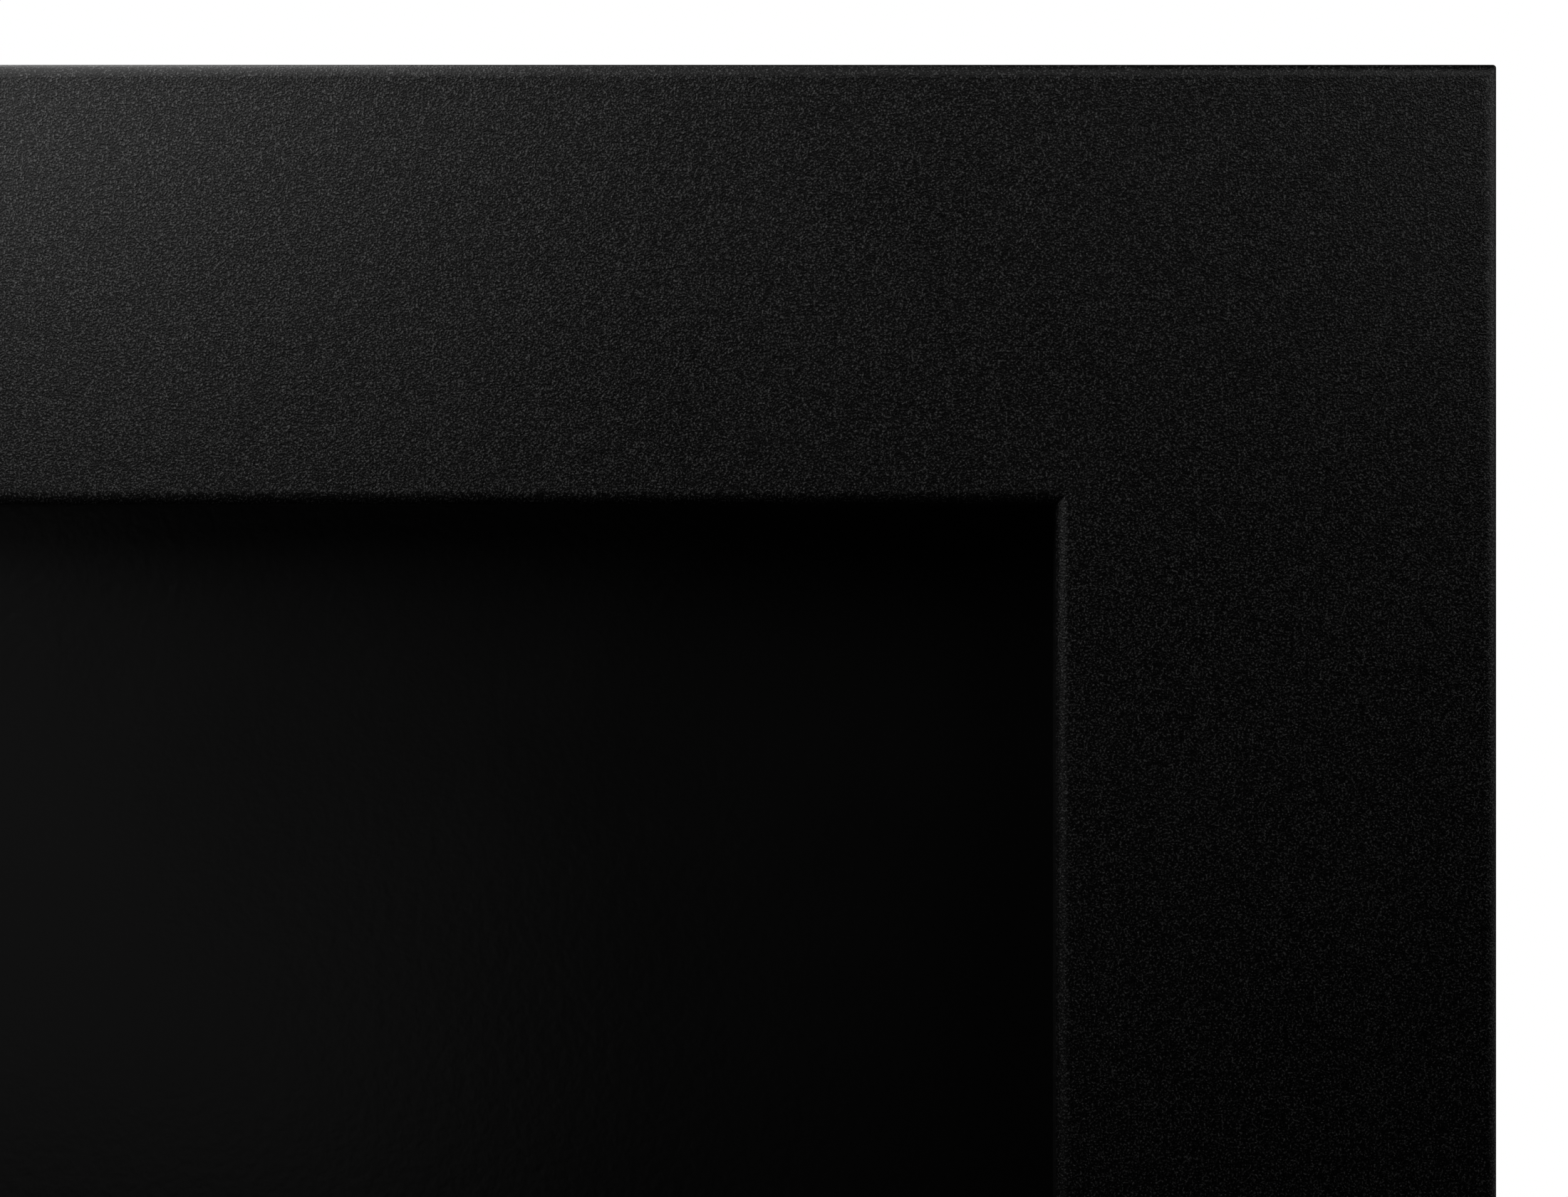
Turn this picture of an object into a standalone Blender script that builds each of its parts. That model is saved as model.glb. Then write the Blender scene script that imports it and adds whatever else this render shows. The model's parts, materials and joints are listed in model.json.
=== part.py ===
"""A free-standing fireplace screen: a wide folded sheet-steel frame around a panel set back behind it.

Metres, +Z up, the front faces -Y. The origin is on the floor, midway between the feet and midway
through the frame's depth. Left and right are as seen from the front, so right is +X.
"""

from math import cos, pi, radians, sin, tau

import bmesh
import bpy
from mathutils import Matrix, Vector

# Driving dimensions of the frame.
FRAME_WIDTH = 0.990
FRAME_HEIGHT = 0.740
FACE_WIDTH = 0.075
FRAME_DEPTH = 0.025
INNER_RETURN = 0.021
SEAT_LIP = 0.021
SHEET = 0.0012
BEND_INSIDE = 0.00115
BEND_OUTSIDE = BEND_INSIDE + SHEET
BEND_STEPS = 5
GAP = 0.0003

# The glides carry the feet, the feet carry the frame.
PAD_HEIGHT = 0.006
GLIDE_HEX_HEIGHT = 0.003
BAR_THICKNESS = 0.008
BAR_BOTTOM = PAD_HEIGHT + GLIDE_HEX_HEIGHT + 2 * GAP
BAR_TOP = BAR_BOTTOM + BAR_THICKNESS
FRAME_BOTTOM = BAR_TOP + GAP
FRAME_TOP = FRAME_BOTTOM + FRAME_HEIGHT
FRAME_FRONT = -FRAME_DEPTH / 2
FRAME_REAR = FRAME_DEPTH / 2

# The panel is a flat sheet laid in from behind, on a fibre tape along the frame's seat lip.
PANEL_REAR = FRAME_REAR - GAP
PANEL_FRONT = PANEL_REAR - SHEET
PANEL_INSET = SHEET + 0.0005
SEAT = FRAME_FRONT + INNER_RETURN
TAPE_WIDTH = 0.016
TAPE_SETBACK = 0.004

# Panel fasteners: M4 button screws into clinch nuts on the seat lip.
M4_RADIUS = 0.0020
M4_HOLE = 0.0024
M4_LENGTH = 0.0115
M4_HEAD_RADIUS = 0.0038
M4_HEAD_HEIGHT = 0.0022
M4_SOCKET = 0.0025
NUT_RADIUS = 0.0040
NUT_HEIGHT = 0.0035
SCREW_LINE = FACE_WIDTH - 0.0125
SCREWS_ALONG_WIDTH = 3
SIDE_SCREW_HEIGHTS = (0.390, 0.580)

# Feet: a flat bar under each side, and a bent flat bar behind it that holds the frame upright.
FOOT_X = FRAME_WIDTH / 2 - SCREW_LINE
BAR_LENGTH = 0.280
BAR_WIDTH = 0.040
UPRIGHT_WIDTH = 0.030
UPRIGHT_THICKNESS = 0.005
UPRIGHT_FRONT = FRAME_REAR + GAP
UPRIGHT_HEIGHT = 0.240
UPRIGHT_BEND = 0.0035
TOE_LENGTH = 0.060
TOE_BOTTOM = BAR_TOP + GAP
UPRIGHT_SCREW_HEIGHTS = (0.080, 0.200)
M5_RADIUS = 0.0025
M5_HOLE = 0.0029
M5_LENGTH = 0.0160
M5_HEAD_RADIUS = 0.0047
M5_HEAD_HEIGHT = 0.0027
M5_SOCKET = 0.0030
M5_NUT_RADIUS = 0.0050
FOOT_BOLT_Y = (UPRIGHT_FRONT + 0.022, UPRIGHT_FRONT + 0.046)
M6_RADIUS = 0.0030
M6_HOLE = 0.0034
M6_HEAD_RADIUS = 0.0060
M6_HEAD_HEIGHT = 0.0033
M6_SOCKET = 0.0040

# Levelling glides: a hex-collared stud in a rubber pad at each end of each bar.
GLIDE_Y = BAR_LENGTH / 2 - BAR_WIDTH / 2
PAD_RADIUS = 0.012
PAD_CHAMFER = 0.001
STUD_RADIUS = 0.004
STUD_TAIL_RADIUS = 0.0025
STUD_TAIL_LENGTH = 0.003
STUD_CLEARANCE = 0.0006
STUD_ACROSS_FLATS = 0.013

# Lift handles: a wire bail that hangs behind the top rail in a folded bracket.
HANDLE_X = FRAME_WIDTH / 4
PIVOT_DROP = 0.022
WIRE_RADIUS = 0.003
WIRE_CLEARANCE = 0.0005
BAIL_HALF_WIDTH = 0.049
BAIL_REACH = 0.060
BAIL_KNEE = 0.007
BAIL_CORNER = 0.014
BRACKET_SHEET = 0.002
BRACKET_HEIGHT = 0.020
EAR_INSIDE = 0.0585
EAR_DEPTH = 0.014
PIVOT_FROM_PANEL = 0.008
RIVET_X = 0.040
RIVET_RADIUS = 0.0024
RIVET_HEAD_RADIUS = 0.0047
RIVET_HEAD_HEIGHT = 0.0014
RIVET_BULB_RADIUS = 0.0034
RIVET_BULB_HEIGHT = 0.003

# Turns that point a fastener's own +Z to the rear or to the front.
HEAD_REARWARD = (-pi / 2, 0, 0)
FACING_FORWARD = (pi / 2, 0, 0)
# Turns the upright's side view, drawn in X and Y, to look along the screen's width.
UPRIGHT_TURN = (pi / 2, 0, pi / 2)

ROUND = 12
FINE_ROUND = 24
SMOOTH_ANGLE = radians(35)


def material(name, colour, roughness, metallic=0.0):
    made = bpy.data.materials.new(name)
    made.use_nodes = True
    shader = made.node_tree.nodes["Principled BSDF"]
    shader.inputs["Base Color"].default_value = (*colour, 1.0)
    shader.inputs["Roughness"].default_value = roughness
    shader.inputs["Metallic"].default_value = metallic
    made.diffuse_color = (*colour, 1.0)
    return made


def mesh_from(name, bm):
    """A mesh of the bmesh, facing out, with its round surfaces shaded smooth."""
    bmesh.ops.recalc_face_normals(bm, faces=bm.faces)
    mesh = bpy.data.meshes.new(name)
    bm.to_mesh(mesh)
    bm.free()
    mesh.shade_smooth()
    mesh.set_sharp_from_angle(angle=SMOOTH_ANGLE)
    return mesh


def place(name, data, finish, location=(0, 0, 0), rotation=(0, 0, 0), parent=None):
    """An object of this mesh or curve, which may be shared with others, in the scene."""
    if not data.materials:
        data.materials.append(finish)
    made = bpy.data.objects.new(name, data)
    made.parent = parent
    made.location = location
    made.rotation_euler = rotation
    bpy.context.scene.collection.objects.link(made)
    return made


def joint_empty(name, location):
    """An empty on a joint's axis, which the moving pieces are parented to."""
    made = bpy.data.objects.new(name, None)
    made.location = location
    bpy.context.scene.collection.objects.link(made)
    return made


def arc(centre_u, centre_v, radius, start, end, steps):
    """Points along a circular arc, both ends included, angles in degrees."""
    turn = radians(end - start) / steps
    angles = [radians(start) + turn * i for i in range(steps + 1)]
    return [(centre_u + radius * cos(a), centre_v + radius * sin(a)) for a in angles]


def circle(radius, z, count=ROUND):
    return [Vector((radius * cos(tau * i / count), radius * sin(tau * i / count), z)) for i in range(count)]


def hexagon(across_flats, z, count=ROUND):
    """Points round a hexagon, as many as a circle has, so the two can be joined."""
    points = []
    for i in range(count):
        angle = tau * i / count
        reach = across_flats / 2 / cos((angle % (pi / 3)) - pi / 6)
        points.append(Vector((reach * cos(angle), reach * sin(angle), z)))
    return points


def loft(name, loops, through=False):
    """A closed mesh through loops of equal count. With through, the last loop joins the first."""
    bm = bmesh.new()
    rows = [[bm.verts.new(point) for point in loop] for loop in loops]
    pairs = list(zip(rows, rows[1:]))
    if through:
        pairs.append((rows[-1], rows[0]))
    for lower, upper in pairs:
        for i, vertex in enumerate(lower):
            after = (i + 1) % len(lower)
            bm.faces.new((vertex, lower[after], upper[after], upper[i]))
    if not through:
        bm.faces.new(rows[0])
        bm.faces.new(rows[-1])
    return mesh_from(name, bm)


def extrude(name, outline, thickness):
    """A closed mesh of an outline in local X and Y, from z 0 up to its thickness."""
    low = [Vector((x, y, 0)) for x, y in outline]
    high = [Vector((x, y, thickness)) for x, y in outline]
    return loft(name, [low, high])


def rectangle_loop(inset, y):
    """The four corners of the frame's outline, moved in by the inset, at depth y."""
    half = FRAME_WIDTH / 2 - inset
    low = FRAME_BOTTOM + inset
    high = FRAME_TOP - inset
    return [Vector((x, y, z)) for x, z in ((-half, low), (half, low), (half, high), (-half, high))]


def subtract(target, name, bm):
    """Takes the bmesh, given in world coordinates, out of the target."""
    cutter = bpy.data.objects.new(name, mesh_from(name, bm))
    cutter.hide_render = True
    cutter.display_type = "WIRE"
    bpy.context.scene.collection.objects.link(cutter)
    modifier = target.modifiers.new(name, "BOOLEAN")
    modifier.operation = "DIFFERENCE"
    modifier.object = cutter


def bore(target, name, spots, radius, length, direction):
    """Bores one size of round hole, centred on each spot, through the target along one axis."""
    turns = {"X": (pi / 2, "Y"), "Y": (pi / 2, "X"), "Z": (0, "Z")}
    angle, about = turns[direction]
    turn = Matrix.Rotation(angle, 4, about)
    bm = bmesh.new()
    for spot in spots:
        bmesh.ops.create_cone(
            bm,
            cap_ends=True,
            segments=ROUND,
            radius1=radius,
            radius2=radius,
            depth=length,
            matrix=Matrix.Translation(spot) @ turn,
        )
    subtract(target, name, bm)


def button_screw(name, radius, length, head_radius, head_height, socket):
    """Head up: underside at z 0, hexagon socket in the crown, shank down to -length."""
    rim = head_radius * 0.72
    return loft(
        name,
        [
            circle(radius, -length),
            circle(radius, 0),
            circle(head_radius, 0),
            circle(rim, head_height),
            hexagon(socket, head_height),
            hexagon(socket, head_height * 0.4),
        ],
    )


def clinch_nut(name, radius, bore, height):
    """A round collar with its bore along Z, from z 0 up."""
    return loft(
        name,
        [circle(bore, 0), circle(radius, 0), circle(radius, height), circle(bore, height)],
        through=True,
    )


def frame_section():
    """The folded sheet as (inset, depth): outer return, face, inner return and seat lip."""
    near = FRAME_FRONT + BEND_OUTSIDE
    face_end = FACE_WIDTH - BEND_OUTSIDE
    lip_bend = SEAT - BEND_OUTSIDE
    lip_edge = FACE_WIDTH - SEAT_LIP
    outside = [(0, FRAME_REAR)]
    outside += arc(BEND_OUTSIDE, near, BEND_OUTSIDE, 180, 270, BEND_STEPS)
    outside += arc(face_end, near, BEND_OUTSIDE, 270, 360, BEND_STEPS)
    outside += arc(face_end, lip_bend, BEND_OUTSIDE, 0, 90, BEND_STEPS)
    outside += [(lip_edge, SEAT), (lip_edge, SEAT - SHEET)]
    inside = arc(face_end, lip_bend, BEND_INSIDE, 90, 0, BEND_STEPS)
    inside += arc(face_end, near, BEND_INSIDE, 360, 270, BEND_STEPS)
    inside += arc(BEND_OUTSIDE, near, BEND_INSIDE, 270, 180, BEND_STEPS)
    inside += [(SHEET, FRAME_REAR)]
    return outside + inside


def panel_screw_spots(depth):
    """The M4 screws, evenly along the top and the bottom and up the sides above the feet."""
    side = FRAME_WIDTH / 2 - SCREW_LINE
    spots = []
    for i in range(SCREWS_ALONG_WIDTH):
        x = 2 * side * ((i + 0.5) / SCREWS_ALONG_WIDTH - 0.5)
        for z in (FRAME_TOP - SCREW_LINE, FRAME_BOTTOM + SCREW_LINE):
            spots.append(Vector((x, depth, z)))
    for height in SIDE_SCREW_HEIGHTS:
        for x in (-side, side):
            spots.append(Vector((x, depth, FRAME_BOTTOM + height)))
    return spots


def upright_screw_spots(depth, side):
    """The M5 screws that hold one foot's upright, through the panel, to the seat lip."""
    return [Vector((side * FOOT_X, depth, FRAME_BOTTOM + height)) for height in UPRIGHT_SCREW_HEIGHTS]


def rivet_spots(depth, side):
    """The rivets of one handle's bracket."""
    height = FRAME_TOP - PIVOT_DROP
    return [Vector((side * HANDLE_X + step * RIVET_X, depth, height)) for step in (-1, 1)]


def bore_for_screws(target, name, depth, length):
    """The M4 and M5 holes, which go through the panel, the tape and the seat lip alike."""
    bore(target, f"{name}_m4", panel_screw_spots(depth), M4_HOLE, length, "Y")
    m5_spots = upright_screw_spots(depth, -1) + upright_screw_spots(depth, 1)
    bore(target, f"{name}_m5", m5_spots, M5_HOLE, length, "Y")


def make_frame(finish):
    loops = [rectangle_loop(inset, y) for inset, y in frame_section()]
    frame = place("front_frame", loft("front_frame", loops, through=True), finish)
    bore_for_screws(frame, "lip_holes", SEAT - SHEET / 2, 2 * SHEET)


def make_panel(finish):
    front = rectangle_loop(PANEL_INSET, PANEL_FRONT)
    rear = rectangle_loop(PANEL_INSET, PANEL_REAR)
    panel = place("back_panel", loft("back_panel", [front, rear]), finish)
    middle = (PANEL_FRONT + PANEL_REAR) / 2
    bore_for_screws(panel, "panel_holes", middle, 2 * SHEET)
    rivets = rivet_spots(middle, -1) + rivet_spots(middle, 1)
    bore(panel, "panel_rivet_holes", rivets, RIVET_RADIUS + GAP, 2 * SHEET, "Y")


def make_tape(finish):
    """A fibre tape on the seat lip, set back from the window so that it doesn't show."""
    inner = FACE_WIDTH - TAPE_SETBACK
    front = SEAT + GAP
    rear = PANEL_FRONT - GAP
    section = [(inner - TAPE_WIDTH, front), (inner, front), (inner, rear), (inner - TAPE_WIDTH, rear)]
    loops = [rectangle_loop(inset, y) for inset, y in section]
    tape = place("seal_tape", loft("seal_tape", loops, through=True), finish)
    bore_for_screws(tape, "tape_holes", (front + rear) / 2, INNER_RETURN / 2)


def make_panel_fasteners(screw_finish, nut_finish):
    screw = button_screw("panel_screw", M4_RADIUS, M4_LENGTH, M4_HEAD_RADIUS, M4_HEAD_HEIGHT, M4_SOCKET)
    nut = clinch_nut("panel_nut", NUT_RADIUS, M4_HOLE, NUT_HEIGHT)
    for i, spot in enumerate(panel_screw_spots(PANEL_REAR + GAP), start=1):
        place(f"panel_screw_{i:02d}", screw, screw_finish, spot, HEAD_REARWARD)
    for i, spot in enumerate(panel_screw_spots(SEAT - SHEET - GAP), start=1):
        place(f"panel_nut_{i:02d}", nut, nut_finish, spot, FACING_FORWARD)


def foot_bar_mesh():
    """A flat bar along Y with half-round ends and broken edges."""
    half = BAR_WIDTH / 2
    outline = arc(0, GLIDE_Y, half, 0, 180, ROUND) + arc(0, -GLIDE_Y, half, 180, 360, ROUND)
    return extrude("foot_bar", outline, BAR_THICKNESS)


def upright_mesh():
    """The bent flat bar's side view in local X (rearward) and Y (up), extruded over its width."""
    outer = UPRIGHT_BEND + UPRIGHT_THICKNESS
    outline = [(0, UPRIGHT_HEIGHT)]
    outline += arc(outer, outer, outer, 180, 270, BEND_STEPS)
    outline += [(TOE_LENGTH, 0), (TOE_LENGTH, UPRIGHT_THICKNESS)]
    outline += arc(outer, outer, UPRIGHT_BEND, 270, 180, BEND_STEPS)
    outline += [(UPRIGHT_THICKNESS, UPRIGHT_HEIGHT)]
    return extrude("foot_upright", outline, UPRIGHT_WIDTH)


def foot_bolt_mesh():
    """Countersunk, head down: the head's face at z 0, the shank up through bar and toe."""
    top = TOE_BOTTOM + UPRIGHT_THICKNESS - BAR_BOTTOM - GAP
    return loft(
        "foot_bolt",
        [
            hexagon(M6_SOCKET, GAP + M6_HEAD_HEIGHT * 0.6),
            hexagon(M6_SOCKET, GAP),
            circle(M6_HEAD_RADIUS, GAP),
            circle(M6_RADIUS, GAP + M6_HEAD_HEIGHT),
            circle(M6_RADIUS, top),
        ],
    )


def countersink(bar, name, spots):
    """The bolts' seats in the bar's underside: cones that the heads sit in with a small gap."""
    depth = M6_HEAD_HEIGHT + 2 * GAP
    bm = bmesh.new()
    for spot in spots:
        bmesh.ops.create_cone(
            bm,
            cap_ends=True,
            segments=ROUND,
            radius1=M6_HEAD_RADIUS + 3 * GAP,
            radius2=M6_HOLE,
            depth=depth,
            matrix=Matrix.Translation(spot + Vector((0, 0, depth / 2 - GAP))),
        )
    subtract(bar, name, bm)


def make_foot(side, word, meshes, finishes):
    """One foot: bar, upright, the bolts that join them and the screws into the frame."""
    x = side * FOOT_X
    bar = place(f"foot_bar_{word}", meshes["bar"], finishes["frame"], (x, 0, BAR_BOTTOM))
    bolts = [Vector((x, y, BAR_BOTTOM)) for y in FOOT_BOLT_Y]
    glides = [Vector((x, y, BAR_BOTTOM)) for y in (-GLIDE_Y, GLIDE_Y)]
    bore(bar, f"bolt_holes_{word}", bolts, M6_HOLE, 3 * BAR_THICKNESS, "Z")
    countersink(bar, f"bolt_seats_{word}", bolts)
    bore(bar, f"glide_holes_{word}", glides, STUD_RADIUS + STUD_CLEARANCE, 3 * BAR_THICKNESS, "Z")

    corner = (x - UPRIGHT_WIDTH / 2, UPRIGHT_FRONT, TOE_BOTTOM)
    upright = place(f"foot_upright_{word}", meshes["upright"], finishes["frame"], corner, UPRIGHT_TURN)
    toe_spots = [Vector((x, y, TOE_BOTTOM)) for y in FOOT_BOLT_Y]
    bore(upright, f"toe_holes_{word}", toe_spots, M6_HOLE, 3 * UPRIGHT_THICKNESS, "Z")
    screw_holes = upright_screw_spots(UPRIGHT_FRONT, side)
    bore(upright, f"upright_holes_{word}", screw_holes, M5_HOLE, 3 * UPRIGHT_THICKNESS, "Y")

    for i, spot in enumerate(bolts, start=1):
        place(f"foot_bolt_{word}_{i}", meshes["bolt"], finishes["fastener"], spot)
    heads = upright_screw_spots(UPRIGHT_FRONT + UPRIGHT_THICKNESS + GAP, side)
    for i, spot in enumerate(heads, start=1):
        place(f"upright_screw_{word}_{i}", meshes["screw"], finishes["fastener"], spot, HEAD_REARWARD)
    for i, spot in enumerate(upright_screw_spots(SEAT - SHEET - GAP, side), start=1):
        place(f"upright_nut_{word}_{i}", meshes["nut"], finishes["zinc"], spot, FACING_FORWARD)


def glide_stud_mesh():
    """Origin at the hexagon's underside: tail down into the pad, shank up into the bar."""
    shank_top = GLIDE_HEX_HEIGHT + GAP + BAR_THICKNESS - 2 * GAP
    return loft(
        "glide_stud",
        [
            circle(STUD_TAIL_RADIUS, -STUD_TAIL_LENGTH),
            circle(STUD_TAIL_RADIUS, 0),
            hexagon(STUD_ACROSS_FLATS, 0),
            hexagon(STUD_ACROSS_FLATS, GLIDE_HEX_HEIGHT),
            circle(STUD_RADIUS, GLIDE_HEX_HEIGHT),
            circle(STUD_RADIUS, shank_top),
        ],
    )


def glide_pad_mesh():
    """A rubber disc from the floor up, with a blind hole for the stud's tail."""
    hole = STUD_TAIL_RADIUS + GAP
    hole_floor = PAD_HEIGHT - STUD_TAIL_LENGTH - GAP
    return loft(
        "glide_pad",
        [
            circle(PAD_RADIUS - PAD_CHAMFER, 0, FINE_ROUND),
            circle(PAD_RADIUS, PAD_CHAMFER, FINE_ROUND),
            circle(PAD_RADIUS, PAD_HEIGHT - PAD_CHAMFER, FINE_ROUND),
            circle(PAD_RADIUS - PAD_CHAMFER, PAD_HEIGHT, FINE_ROUND),
            circle(hole, PAD_HEIGHT, FINE_ROUND),
            circle(hole, hole_floor, FINE_ROUND),
        ],
    )


def make_glides(finishes):
    """Each glide winds down out of its bar along Z."""
    stud = glide_stud_mesh()
    pad = glide_pad_mesh()
    hex_bottom = PAD_HEIGHT + GAP
    for y_side, depth_word in ((-1, "front"), (1, "rear")):
        for x_side, side_word in ((-1, "left"), (1, "right")):
            spot = f"{depth_word}_{side_word}"
            axis = joint_empty(f"glide_axis_{spot}", (x_side * FOOT_X, y_side * GLIDE_Y, 0))
            place(f"glide_stud_{spot}", stud, finishes["zinc"], (0, 0, hex_bottom), parent=axis)
            place(f"glide_pad_{spot}", pad, finishes["rubber"], parent=axis)


def bail_curve():
    """The wire from one pivot, down, across and up to the other, in local X and Z."""
    end = EAR_INSIDE + BRACKET_SHEET + 0.003
    knee = BAIL_KNEE
    corner = BAIL_CORNER
    half = BAIL_HALF_WIDTH
    right = [(end, 0)]
    right += arc(half + knee, -knee, knee, 90, 180, BEND_STEPS)
    right += arc(half - corner, corner - BAIL_REACH, corner, 0, -90, BEND_STEPS)
    left = [(-x, z) for x, z in reversed(right)]
    curve = bpy.data.curves.new("lift_bail", "CURVE")
    curve.dimensions = "3D"
    curve.bevel_depth = WIRE_RADIUS
    curve.bevel_resolution = 2
    curve.use_fill_caps = True
    spline = curve.splines.new("POLY")
    points = right + left
    spline.points.add(len(points) - 1)
    for point, (x, z) in zip(spline.points, points):
        point.co = (x, 0, z, 1)
    return curve


def bracket_mesh():
    """A strip with an ear turned out at each end, in local X and Y, extruded over its height."""
    outer = EAR_INSIDE + BRACKET_SHEET
    bend = BRACKET_SHEET
    right_outside = arc(outer - 2 * bend, 2 * bend, 2 * bend, 270, 360, BEND_STEPS) + [(outer, EAR_DEPTH)]
    right_inside = [(EAR_INSIDE, EAR_DEPTH)] + arc(outer - 2 * bend, 2 * bend, bend, 360, 270, BEND_STEPS)
    right = right_outside + right_inside
    left = [(-x, y) for x, y in reversed(right)]
    return extrude("bail_bracket", right + left, BRACKET_HEIGHT)


def rivet_mesh():
    """Dome up at z 0, shank down through bracket and panel, bulb on the blind side."""
    grip = BRACKET_SHEET + SHEET + 3 * GAP
    return loft(
        "bail_rivet",
        [
            circle(RIVET_RADIUS, -grip - RIVET_BULB_HEIGHT),
            circle(RIVET_BULB_RADIUS, -grip - RIVET_BULB_HEIGHT * 0.6),
            circle(RIVET_BULB_RADIUS, -grip),
            circle(RIVET_RADIUS, -grip),
            circle(RIVET_RADIUS, 0),
            circle(RIVET_HEAD_RADIUS, 0),
            circle(RIVET_HEAD_RADIUS * 0.5, RIVET_HEAD_HEIGHT),
        ],
    )


def make_handle(side, word, meshes, finishes):
    """One lift handle. The bail turns about X through its bracket's ears."""
    x = side * HANDLE_X
    height = FRAME_TOP - PIVOT_DROP
    base = PANEL_REAR + GAP
    low = (x, base, height - BRACKET_HEIGHT / 2)
    bracket = place(f"bail_bracket_{word}", meshes["bracket"], finishes["frame"], low)
    pivot = Vector((x, base + PIVOT_FROM_PANEL, height))
    ears = [pivot + Vector((step * EAR_INSIDE, 0, 0)) for step in (-1, 1)]
    bore(bracket, f"ear_holes_{word}", ears, WIRE_RADIUS + WIRE_CLEARANCE, 6 * BRACKET_SHEET, "X")
    bore(bracket, f"rivet_holes_{word}", rivet_spots(base, side), RIVET_RADIUS + GAP, 6 * BRACKET_SHEET, "Y")
    for i, spot in enumerate(rivet_spots(base + BRACKET_SHEET + GAP, side), start=1):
        place(f"bail_rivet_{word}_{i}", meshes["rivet"], finishes["zinc"], spot, HEAD_REARWARD)
    axis = joint_empty(f"bail_axis_{word}", pivot)
    place(f"lift_bail_{word}", meshes["bail"], finishes["wire"], parent=axis)


def main():
    for old in list(bpy.data.objects):
        bpy.data.objects.remove(old)
    finishes = {
        "frame": material("black_powder_coat", (0.012, 0.012, 0.012), 0.55),
        "panel": material("black_panel_coat", (0.010, 0.010, 0.010), 0.60),
        "tape": material("glass_fibre_tape", (0.05, 0.05, 0.05), 0.95),
        "fastener": material("black_oxide_steel", (0.03, 0.03, 0.032), 0.40, 1.0),
        "zinc": material("zinc_plated_steel", (0.55, 0.55, 0.56), 0.35, 1.0),
        "wire": material("black_wire", (0.015, 0.015, 0.015), 0.45),
        "rubber": material("black_rubber", (0.02, 0.02, 0.02), 0.85),
    }
    make_frame(finishes["frame"])
    make_panel(finishes["panel"])
    make_tape(finishes["tape"])
    make_panel_fasteners(finishes["fastener"], finishes["zinc"])
    foot_meshes = {
        "bar": foot_bar_mesh(),
        "upright": upright_mesh(),
        "bolt": foot_bolt_mesh(),
        "screw": button_screw(
            "upright_screw", M5_RADIUS, M5_LENGTH, M5_HEAD_RADIUS, M5_HEAD_HEIGHT, M5_SOCKET
        ),
        "nut": clinch_nut("upright_nut", M5_NUT_RADIUS, M5_HOLE, NUT_HEIGHT),
    }
    handle_meshes = {"bail": bail_curve(), "bracket": bracket_mesh(), "rivet": rivet_mesh()}
    for side, word in ((-1, "left"), (1, "right")):
        make_foot(side, word, foot_meshes, finishes)
        make_handle(side, word, handle_meshes, finishes)
    make_glides(finishes)


main()
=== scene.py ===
import json
from math import cos, floor, pi, radians, sin, sqrt, tau

import bmesh
import bpy
from mathutils import Matrix, Vector

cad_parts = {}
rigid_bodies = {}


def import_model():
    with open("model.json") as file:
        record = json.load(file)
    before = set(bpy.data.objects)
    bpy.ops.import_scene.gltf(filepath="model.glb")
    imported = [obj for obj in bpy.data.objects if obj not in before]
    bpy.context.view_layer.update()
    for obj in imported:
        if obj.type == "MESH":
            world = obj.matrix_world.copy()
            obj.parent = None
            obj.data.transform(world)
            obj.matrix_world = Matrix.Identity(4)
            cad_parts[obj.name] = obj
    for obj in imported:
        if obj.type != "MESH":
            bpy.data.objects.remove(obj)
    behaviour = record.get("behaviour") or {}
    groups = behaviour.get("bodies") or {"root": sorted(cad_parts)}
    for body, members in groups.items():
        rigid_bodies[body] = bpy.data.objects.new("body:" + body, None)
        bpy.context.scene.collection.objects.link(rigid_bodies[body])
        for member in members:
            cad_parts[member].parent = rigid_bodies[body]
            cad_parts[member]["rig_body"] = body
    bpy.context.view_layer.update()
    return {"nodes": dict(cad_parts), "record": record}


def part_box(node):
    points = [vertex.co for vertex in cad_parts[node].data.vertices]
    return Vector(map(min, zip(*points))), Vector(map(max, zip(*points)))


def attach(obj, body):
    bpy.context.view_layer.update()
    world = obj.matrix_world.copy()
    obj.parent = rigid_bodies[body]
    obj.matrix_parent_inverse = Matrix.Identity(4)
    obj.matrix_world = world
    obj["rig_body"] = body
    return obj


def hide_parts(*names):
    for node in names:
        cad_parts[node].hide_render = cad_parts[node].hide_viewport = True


# A free-standing fireplace screen, finished and lit. Metres, +Z up, the front faces -Y.
# Sizes that the frame doesn't hold are named here; places come from the frame's own nodes.

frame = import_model()
nodes = frame["nodes"]

SIDES = ("left", "right")
GLIDES = ("front_left", "front_right", "rear_left", "rear_right")

# Steps in an arc.
BEND_STEPS = 12
CORNER_STEPS = 5
LIP_STEPS = 3
DOME_STEPS = 10
FOLD_STEPS = 10
BAIL_CORNER_STEPS = 14
BAR_END_STEPS = 24
BAR_EDGE_STEPS = 5
PAD_EDGE_STEPS = 6
RIVET_STEPS = 8
ROUND = 48
WIRE_ROUND = 28

# Folded sheet.
SHEET = 0.0012
FACE_WIDTH = 0.075
BEND_OUTSIDE = 0.00235
BEND_INSIDE = BEND_OUTSIDE - SHEET
INNER_RETURN = 0.021
SEAT_LIP = 0.021
OUTER_CORNER_ROUND = 0.0006
SHARP_CORNER_ROUND = 0.00012
SHEET_EDGE_ROUND = 0.0003

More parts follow.
